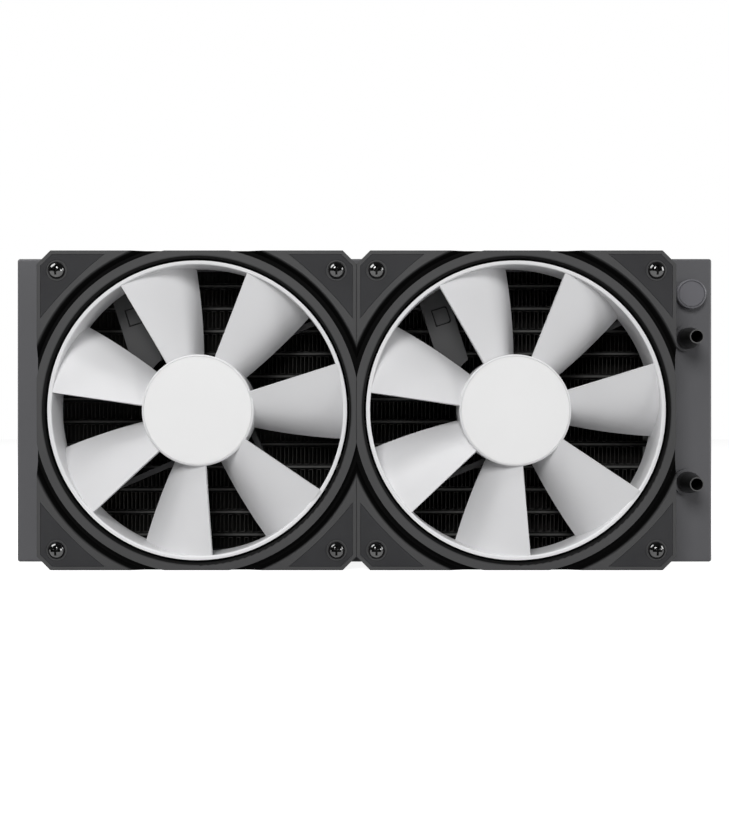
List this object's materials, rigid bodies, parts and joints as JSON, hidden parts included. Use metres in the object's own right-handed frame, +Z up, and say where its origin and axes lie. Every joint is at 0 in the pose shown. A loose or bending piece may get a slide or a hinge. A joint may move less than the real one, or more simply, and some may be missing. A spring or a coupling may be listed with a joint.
{
  "type": "liquid cooler radiator with two fans",
  "caption": "Flat liquid cooling radiator with tapered hose fittings on one end tank and a row of framed axial fans on its front.",
  "frame": {"origin": "bottom centre of the whole part, below the joint between the fans and the radiator", "axes": "+X along the radiator towards the hose fittings, -Y out of the fans' fronts, +Z up across the radiator's tubes"},
  "size_m": [0.275, 0.054, 0.12],
  "materials": {
    "radiator_paint": "satin",
    "core_paint": "satin",
    "fitting_plastic": "satin",
    "seal_rubber": "matte",
    "frame_plastic": "matte",
    "pad_rubber": "matte",
    "impeller_plastic": "satin",
    "bearing_bronze": "satin",
    "motor_steel": "satin",
    "winding_copper": "gloss",
    "board_laminate": "satin",
    "magnet_ferrite": "matte",
    "shaft_steel": "polished",
    "clip_plastic": "matte",
    "screw_steel": "gloss"
  },
  "bodies": {
    "radiator": {"left_end_tank": "radiator_paint", "right_end_tank": "radiator_paint", "left_header_plate": "radiator_paint", "right_header_plate": "radiator_paint", "top_side_plate": "radiator_paint", "bottom_side_plate": "radiator_paint", "coolant_tubes": "core_paint", "fin_strips": "core_paint", "fill_plug": "radiator_paint", "fill_plug_seal": "seal_rubber", "inlet_fitting": "fitting_plastic", "inlet_seal": "seal_rubber", "outlet_fitting": "fitting_plastic", "outlet_seal": "seal_rubber", "left_fan_frame": "frame_plastic", "left_front_pads": "pad_rubber", "left_rear_pads": "pad_rubber", "left_cable_clip": "frame_plastic", "left_bearing_sleeve": "bearing_bronze", "left_stator_core": "motor_steel", "left_stator_coils": "winding_copper", "left_circuit_board": "board_laminate", "left_fan_screws": "screw_steel", "right_fan_frame": "frame_plastic", "right_front_pads": "pad_rubber", "right_rear_pads": "pad_rubber", "right_cable_clip": "frame_plastic", "right_bearing_sleeve": "bearing_bronze", "right_stator_core": "motor_steel", "right_stator_coils": "winding_copper", "right_circuit_board": "board_laminate", "right_fan_screws": "screw_steel"},
    "left_rotor": {"left_impeller_hub": "impeller_plastic", "left_impeller_blades": "impeller_plastic", "left_impeller_ring": "impeller_plastic", "left_hub_cap": "impeller_plastic", "left_rotor_yoke": "motor_steel", "left_ring_magnet": "magnet_ferrite", "left_rotor_shaft": "shaft_steel", "left_retaining_clip": "clip_plastic"},
    "right_rotor": {"right_impeller_hub": "impeller_plastic", "right_impeller_blades": "impeller_plastic", "right_impeller_ring": "impeller_plastic", "right_hub_cap": "impeller_plastic", "right_rotor_yoke": "motor_steel", "right_ring_magnet": "magnet_ferrite", "right_rotor_shaft": "shaft_steel", "right_retaining_clip": "clip_plastic"}
  },
  "joints": [
    {"name": "left_fan_spin", "type": "hinge", "parent": "radiator", "child": "left_rotor", "pos_m": [-0.063, 0, 0.06], "axis": [0, 1, 0], "continuous": true},
    {"name": "right_fan_spin", "type": "hinge", "parent": "radiator", "child": "right_rotor", "pos_m": [0.057, 0, 0.06], "axis": [0, 1, 0], "continuous": true}
  ]
}
